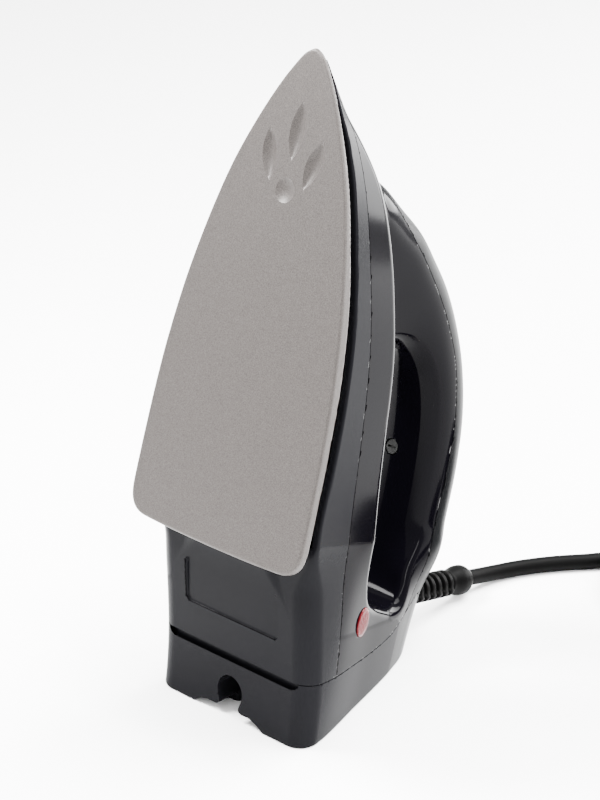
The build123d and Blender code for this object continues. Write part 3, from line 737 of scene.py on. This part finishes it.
def add_soleplate(step):
    """The soleplate, meshed like the covers."""
    side = SOLE_CORNER_LINE + [(h, y) for y, h in SOLE_SIDE[1:-1]] + [(1.8, 192.6), (0.0, 193.3)]
    line = smooth_line(side, 0.5, 1.0)
    ring = list(line) + [(-x, y) for x, y in line[::-1]]
    x, y = np.arange(-50.0, 50.1, 0.7), np.arange(-6.0, 198.0, 0.7)
    maps = Maps(x, y)
    maps.add("inside", signed_map(ring, x, y))
    parts = [sole_body, round_dimple] + [petal(*each) for each in PETALS]
    sole = Contour(step, maps, (0, 1)).mesh("sole_casting", parts, (-48.1, -3.2, -0.9), (48.1, 195.4, 9.4))
    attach(sole, "iron")
    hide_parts("soleplate")
    return sole


# ---- pieces made from rings of points ----
def ring_mesh(name, rings, closed_ends=True):
    """A skin over rings of points, all with the same count."""
    rings = np.array(rings)
    count, around = rings.shape[:2]
    faces = []
    for i in range(count - 1):
        for j in range(around):
            k = (j + 1) % around
            faces.append((i * around + j, i * around + k, (i + 1) * around + k, (i + 1) * around + j))
    if closed_ends:
        faces.append(tuple(range(around))[::-1])
        faces.append(tuple(range((count - 1) * around, count * around)))
    data = bpy.data.meshes.new(name)
    data.from_pydata(rings.reshape(-1, 3).tolist(), [], faces)
    data.update()
    for face in data.polygons:
        face.use_smooth = len(face.vertices) == 4
    return link(bpy.data.objects.new(name, data))


def frame_along(aim):
    """Two unit vectors across a direction."""
    aim = np.array(aim, float) / np.linalg.norm(aim)
    across = np.cross(aim, (0.0, 0.0, 1.0))
    across /= np.linalg.norm(across)
    return aim, across, np.cross(across, aim)


def turned(name, start, aim, outline, around=64, shape=None):
    """A turned piece along aim: outline gives (distance, radius), shape may vary the radius."""
    aim, across, up = frame_along(aim)
    angle = np.arange(around) * 2 * math.pi / around
    rings = []
    for distance, radius in outline:
        r = radius if shape is None else shape(distance, radius, angle)
        r = r * np.ones(around)
        rings.append((
            start + distance * aim
            + r[:, None] * (np.cos(angle)[:, None] * across + np.sin(angle)[:, None] * up)
        ) * MM)
    return ring_mesh(name, rings)


def arc(centre, radius, start, end, count=8):
    """Points of an outline's rounded corner."""
    angles = np.radians(np.linspace(start, end, count))
    return [(centre[0] + radius * math.cos(a), centre[1] + radius * math.sin(a)) for a in angles]


RIB_START, RIB_PITCH, RIB_COUNT = 8.5, 4.1, 8
RIB_DEPTH = 1.7


def rib_radius(distance, radius, angle):
    """Rings that step by half a pitch between the guard's upper and lower half."""
    inside = ease(distance, RIB_START - 0.5, RIB_START + 0.5)
    end = RIB_START + RIB_COUNT * RIB_PITCH
    inside = inside * (1 - ease(distance, end - 0.6, end + 0.6))
    turn = np.arctan2(np.sin(angle + 0.25), np.abs(np.cos(angle + 0.25)))
    step = 0.5 * ease(turn, -0.28, 0.28)
    phase = ((distance - RIB_START) / RIB_PITCH + step) % 1.0
    groove = ease(np.abs(phase - 0.5), 0.30, 0.17)
    return radius - RIB_DEPTH * groove * inside


def add_guard():
    """The ribbed cord guard with a flared end, and the cord's neck."""
    length = float(np.linalg.norm(GUARD_END - GUARD_START))
    outline = [(0.2, 3.6), (0.2, 7.4), (2.4, 7.5), (2.6, 5.6), (7.0, 5.6)]
    end = RIB_START + RIB_COUNT * RIB_PITCH
    for distance in np.arange(7.4, end, 0.22):
        outline.append((distance, 6.15 - 0.2 * (distance - 7.4) / (end - 7.4)))
    flare = [(end, 5.2), (end + 1.5, 5.25), (end + 3.5, 5.7), (end + 5.5, 6.25), (end + 7.6, 6.6),
             (end + 9.6, 6.6), (end + 11.2, 6.25), (end + 12.4, 5.5), (length, 4.6), (length, 3.55)]
    flare = [p for p in flare if p[0] <= length]
    dense = smooth_line(flare, 0.4, 0.5)
    outline += [tuple(p) for p in dense]
    guard = turned("guard_ribs", GUARD_START, GUARD_END - GUARD_START, outline, 96, rib_radius)
    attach(guard, "iron")
    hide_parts("cord_guard")
    return guard


def add_plug():
    """The round moulded plug and its two pins."""
    def ridged(distance, radius, angle):
        grip = ease(distance, 26.0, 28.0) * (1 - ease(distance, 35.0, 37.0))
        return radius - 0.5 * grip * np.maximum(np.cos(angle * 16), 0)

    def relief(distance, radius, angle):
        rings = ease(distance, 2.0, 4.0) * (1 - ease(distance, 11.0, 13.0))
        return ridged(distance, radius, angle) - 0.7 * rings * (0.5 + 0.5 * math.cos(distance * 2.1))

    body = [(0.0, 3.6), (0.0, 4.6), (0.6, 5.0)]
    profile = [(0.6, 5.0), (14, 5.6), (17, 8.4), (24, 11.9), (28, 12.4)]
    body += [(d, float(cubic(*zip(*profile), d))) for d in np.arange(1.0, 28.0, 0.35)]
    body += [(28.0, 12.4), (38.0, 12.4)] + arc((38.6, 11.0), 1.4, 90, 0, 6) + [(40.0, 0.4)]
    body = sorted(body, key=lambda p: p[0])
    plug = turned("plug_moulding", PLUG_AT, PLUG_AIM, body, 96, relief)
    pins = []
    outline = [(39.5, 0.3), (39.5, 2.1), (49.5, 2.1), (49.7, 2.38), (57.6, 2.38)]
    outline += arc((57.6, 1.0), 1.38, 90, 0, 6) + [(58.98, 0.2)]
    across = frame_along(PLUG_AIM)[1]
    for side in (-9.5, 9.5):
        pins.append(turned("pin", PLUG_AT + side * across, PLUG_AIM, outline, 32))
    pins = joined(pins, "pins_turned")
    for piece, node in ((plug, "plug_body"), (pins, "plug_pins")):
        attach(piece, "iron")
        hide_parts(node)
    return plug, pins


def joined(objects, name):
    """Several mesh objects as one."""
    with bpy.context.temp_override(active_object=objects[0], selected_editable_objects=objects):
        bpy.ops.object.join()
    objects[0].name = name
    return objects[0]


DIAL_RIBS = 30


def add_dial():
    """The ribbed temperature dial, turned about its own axis in the iron's frame."""
    around = DIAL_RIBS * 14
    angle = np.arange(around) * 2 * math.pi / around
    rib = np.abs(np.cos(angle * DIAL_RIBS / 2)) ** 0.7
    marks = []
    outline = [
        (50.5, 6.0), (50.5, 22.0), (50.6, 24.0), (51.0, 24.6), (52.0, 24.9), (57.4, 24.9), (58.4, 24.6),
        (59.1, 23.9), (59.4, 22.9), (59.5, 21.8), (59.2, 20.8), (59.0, 19.8), (59.0, 8.0), (59.0, 0.5),
    ]
    for height, radius in outline:
        reach = ease(radius, 23.4, 24.8)
        r = radius + reach * 1.05 * rib
        marks.append(to_world(np.stack([
            r * np.cos(angle), DIAL_Y + r * np.sin(angle), np.full(around, height),
        ], 1)))
    dial = ring_mesh("dial_ribs", marks)
    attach(dial, "dial")
    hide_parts("temperature_dial")
    return dial


def add_lens(maps):
    """The pilot lamp's red oval lens with fine ribs inside its rim."""
    angle = np.arange(72) * 2 * math.pi / 72
    rings = []
    for share, lift in [(1.0, -5.0), (1.0, 0.1), (0.985, 0.45), (0.95, 0.7)] + [
        (s, 0.75 + 0.35 * (1 - s * s)) for s in np.linspace(0.9, 0.02, 26)
    ]:
        a, b = 6.2 * share * np.cos(angle), 4.75 * share * np.sin(angle)
        y = LENS_Y + a * 0.982 + b * 0.19
        z = LENS_Z - a * 0.19 + b * 0.982
        wall = maps.at(np.full(72, LENS_Y), np.full(72, LENS_Z))["side"]
        lean = 0.30 * (z - LENS_Z)
        rib = 0.11 * np.cos(2 * math.pi * b / 1.15) * ease(0.9 - share, 0.0, 0.06)
        rings.append(to_world(np.stack([-(wall - lean + lift + rib), y, z], 1)))
    lens = ring_mesh("lens_dome", rings)
    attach(lens, "iron")
    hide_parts("pilot_lens")
    return lens


# ---- materials ----
def new_material(name, colour, rough, metal=0.0, specular=0.5):
    """A principled material and its node tree."""
    material = bpy.data.materials.new(name)
    material.use_nodes = True
    shader = material.node_tree.nodes["Principled BSDF"]
    shader.inputs["Base Color"].default_value = (*colour, 1.0)
    shader.inputs["Roughness"].default_value = rough
    shader.inputs["Metallic"].default_value = metal
    shader.inputs["Specular IOR Level"].default_value = specular
    return material, material.node_tree.nodes, material.node_tree.links, shader


def noise(nodes, links, scale, detail=3.0):
    """Noise in the object's own coordinates, which are world metres at rest."""
    place = nodes.new("ShaderNodeTexCoord")
    texture = nodes.new("ShaderNodeTexNoise")
    texture.inputs["Scale"].default_value = scale
    texture.inputs["Detail"].default_value = detail
    links.new(place.outputs["Object"], texture.inputs["Vector"])
    return texture.outputs["Fac"]


def ramp(nodes, links, value, low, high):
    """Maps 0..1 to a range of numbers."""
    node = nodes.new("ShaderNodeMapRange")
    node.inputs["To Min"].default_value = low
    node.inputs["To Max"].default_value = high
    links.new(value, node.inputs["Value"])
    return node.outputs["Result"]


def mix_colours(nodes, links, value, low, high):
    """A colour ramp between two colours."""
    node = nodes.new("ShaderNodeValToRGB")
    node.color_ramp.elements[0].color = (*low, 1.0)
    node.color_ramp.elements[1].color = (*high, 1.0)
    links.new(value, node.inputs["Fac"])
    return node


def bump(nodes, links, shader, value, distance, strength=1.0):
    node = nodes.new("ShaderNodeBump")
    node.inputs["Distance"].default_value = distance
    node.inputs["Strength"].default_value = strength
    links.new(value, node.inputs["Height"])
    links.new(node.outputs["Normal"], shader.inputs["Normal"])


def moulded(name, colour, rough, grain=900.0, depth=0.00002, spread=0.25, coat=0.0, specular=0.02):
    """Moulded plastic or rubber: slight colour drift, uneven gloss and a fine skin."""
    material, nodes, links, shader = new_material(name, colour, rough, specular=specular)
    dark = tuple(c * (1 - spread) for c in colour)
    light = tuple(c * (1 + spread) for c in colour)
    drift = mix_colours(nodes, links, noise(nodes, links, 22.0), dark, light)
    links.new(drift.outputs["Color"], shader.inputs["Base Color"])
    gloss = ramp(nodes, links, noise(nodes, links, 60.0), rough * 0.86, rough * 1.14)
    links.new(gloss, shader.inputs["Roughness"])
    bump(nodes, links, shader, noise(nodes, links, grain, 2.0), depth)
    if coat:
        shader.inputs["Coat Weight"].default_value = coat
        shader.inputs["Coat Roughness"].default_value = 0.06
    return material


def coated_sole(name):
    """Speckled non-stick coating, warm grey."""
    material, nodes, links, shader = new_material(name, (0.05, 0.045, 0.042), 0.42, 0.2, 0.15)
    fine = noise(nodes, links, 2300.0, 2.0)
    speckle = mix_colours(nodes, links, fine, (0.029, 0.0256, 0.0240), (0.056, 0.0498, 0.0467))
    speckle.color_ramp.elements[0].position = 0.30
    speckle.color_ramp.elements[1].position = 0.70
    links.new(speckle.outputs["Color"], shader.inputs["Base Color"])
    links.new(ramp(nodes, links, fine, 0.34, 0.52), shader.inputs["Roughness"])
    bump(nodes, links, shader, fine, 0.00003, 0.5)
    return material


def metal(name, colour, rough, scale=300.0):
    """Plain metal with uneven polish."""
    material, nodes, links, shader = new_material(name, colour, rough, 1.0)
    gloss = ramp(nodes, links, noise(nodes, links, scale), rough * 0.7, rough * 1.3)
    links.new(gloss, shader.inputs["Roughness"])
    bump(nodes, links, shader, noise(nodes, links, scale * 4, 2.0), 0.00001)
    return material


def red_lens(name):
    """Clear red plastic whose colour drifts at random between a deep and a clearer red."""
    material, nodes, links, shader = new_material(name, (0.32, 0.012, 0.02), 0.16)
    deep, clear = (0.035, 0.0006, 0.0018), (0.075, 0.0016, 0.0036)
    depth = mix_colours(nodes, links, noise(nodes, links, 700.0), deep, clear)
    links.new(depth.outputs["Color"], shader.inputs["Base Color"])
    shader.inputs["Specular IOR Level"].default_value = 0.12
    return material


def make_materials():
    """One material for each of the record's slots."""
    return {
        "charcoal_plastic": moulded("charcoal_plastic", (0.0030, 0.0030, 0.0037), 0.24),
        "charcoal_gloss": moulded("charcoal_gloss", (0.0008, 0.0007, 0.0012), 0.10, depth=0.000004),
        "slate_soft": moulded("slate_soft", (0.0018, 0.0019, 0.0022), 0.32, 1400.0),
        "sole_coating": coated_sole("sole_coating"),
        "steel": metal("steel", (0.025, 0.025, 0.025), 0.4),
        "shield_steel": metal("shield_steel", (0.50, 0.49, 0.47), 0.38),
        "ceramic": moulded("ceramic", (0.70, 0.67, 0.60), 0.5, 700.0),
        "brass": metal("brass", (0.62, 0.45, 0.20), 0.3),
        "dial_plastic": moulded("dial_plastic", (0.0010, 0.0010, 0.0012), 0.25),
        "board": moulded("board", (0.03, 0.16, 0.07), 0.4, 500.0),
        "relay_plastic": moulded("relay_plastic", (0.05, 0.16, 0.40), 0.35),
        "capacitor_plastic": moulded("capacitor_plastic", (0.50, 0.18, 0.05), 0.3),
        "red_lens": red_lens("red_lens"),
        "clear_glass": moulded("clear_glass", (0.75, 0.62, 0.55), 0.08),
        "terminal_plastic": moulded("terminal_plastic", (0.62, 0.60, 0.55), 0.4),
        "guard_rubber": moulded("guard_rubber", (0.0006, 0.0006, 0.0006), 0.48, 1100.0),
        "cord_rubber": moulded("cord_rubber", (0.0008, 0.0008, 0.0008), 0.52, 1300.0),
        "wire_plastic": moulded("wire_plastic", (0.30, 0.16, 0.08), 0.4),
        "plug_plastic": moulded("plug_plastic", (0.002, 0.002, 0.0022), 0.36),
        "pin_brass": metal("pin_brass", (0.68, 0.60, 0.42), 0.22),
    }


NODE_SLOTS = {
    "steel": [
        "sole_screws", "handle_screw", "heel_screws", "cord_clamp_screws", "tilt_ball",
        "thermostat_frame", "bimetal_strip", "fixed_contact_spring", "moving_contact_spring",
        "element_pins",
    ],
    "shield_steel": ["heat_shield", "heating_element", "thermal_fuse"],
    "ceramic": ["shield_spacers", "thermostat_lower_ring", "thermostat_upper_ring"],
    "brass": ["dial_spindle"],
    "board": ["control_board"],
    "relay_plastic": ["auto_off_relay"],
    "capacitor_plastic": ["dropper_capacitor"],
    "clear_glass": ["neon_lamp"],
    "terminal_plastic": ["terminal_block", "cord_clamp", "tilt_switch"],
    "cord_rubber": ["inner_cord"],
    "wire_plastic": ["lead_wires"],
}


def paint(piece, materials, slot):
    """Give a piece the material of a slot."""
    piece.data.materials.clear()
    piece.data.materials.append(materials[slot])


# ---- lights and floor ----
def area_light(name, place, target, size, power, colour=(1.0, 1.0, 1.0)):
    data = bpy.data.lights.new(name, "AREA")
    data.shape = "RECTANGLE"
    data.size, data.size_y = size
    data.energy = power
    data.color = colour
    light = link(bpy.data.objects.new(name, data))
    light.location = place
    light.rotation_euler = (Vector(target) - Vector(place)).to_track_quat("-Z", "Y").to_euler()
    return light


def add_studio():
    """A pale floor, a pale world and soft boxes."""
    world = bpy.data.worlds.new("studio")
    bpy.context.scene.world = world
    world.use_nodes = True
    background = world.node_tree.nodes["Background"]
    background.inputs["Color"].default_value = (1.0, 1.0, 1.0, 1.0)
    background.inputs["Strength"].default_value = 2.8
    data = bpy.data.meshes.new("floor")
    half = 6.0
    corners = [(-half, -half, 0), (half, -half, 0), (half, half, 0), (-half, half, 0)]
    data.from_pydata(corners, [], [(0, 1, 2, 3)])
    floor = link(bpy.data.objects.new("floor", data))
    material, nodes, links, shader = new_material("floor", (0.93, 0.93, 0.93), 0.6)
    tone = mix_colours(nodes, links, noise(nodes, links, 3.0), (0.92, 0.92, 0.92), (0.94, 0.94, 0.94))
    links.new(tone.outputs["Color"], shader.inputs["Base Color"])
    data.materials.append(material)
    area_light("key", (-0.34, -0.17, 0.60), (0, 0, 0.28), (0.25, 0.25), 30.0)
    area_light("top", (0.3, 0.6, 1.5), (0, 0, 0.15), (1.2, 1.0), 210.0)
    area_light("rim", (0.62, -0.1, 0.66), (0, 0, 0.18), (0.05, 0.6), 10.0)
    area_light("back", (0.3, 1.3, 0.35), (0, 0, 0.2), (0.9, 0.5), 60.0)


def add_cord(materials):
    """The mains cord and its stored coil, running up to the plug."""
    points = [tuple(p) for p in LEAD_ROUTE] + [(41.5, 192.3, 3.55)] + coil_points()
    points += [(115.3, 173.0, 24.5)] + TAIL_ROUTE
    cord = nurbs("mains_lead", points, CORD_D / 2)
    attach(cord, "iron")
    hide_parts("mains_cord", "cord_coil", "cord_tail")
    paint(cord, materials, "cord_rubber")


def main():
    add_camera()
    materials = make_materials()
    plug, pins = add_plug()
    add_cord(materials)
    paint(plug, materials, "plug_plastic")
    paint(pins, materials, "pin_brass")
    for slot, names in NODE_SLOTS.items():
        for name in names:
            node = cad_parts[name]
            node.data.materials.clear()
            node.data.materials.append(materials[slot])
    maps = build_maps(1.0)
    covers = add_covers(Contour(COVER_STEP, maps))
    for name, slot in (("skirt", "charcoal_plastic"), ("upper_housing", "charcoal_gloss"),
                       ("handle_cover", "slate_soft"), ("heel_cover", "charcoal_plastic")):
        paint(covers[name], materials, slot)
    paint(add_soleplate(SOLE_STEP), materials, "sole_coating")
    paint(add_guard(), materials, "guard_rubber")
    paint(add_dial(), materials, "dial_plastic")
    paint(add_lens(maps), materials, "red_lens")
    add_studio()
    bpy.context.view_layer.update()


main()
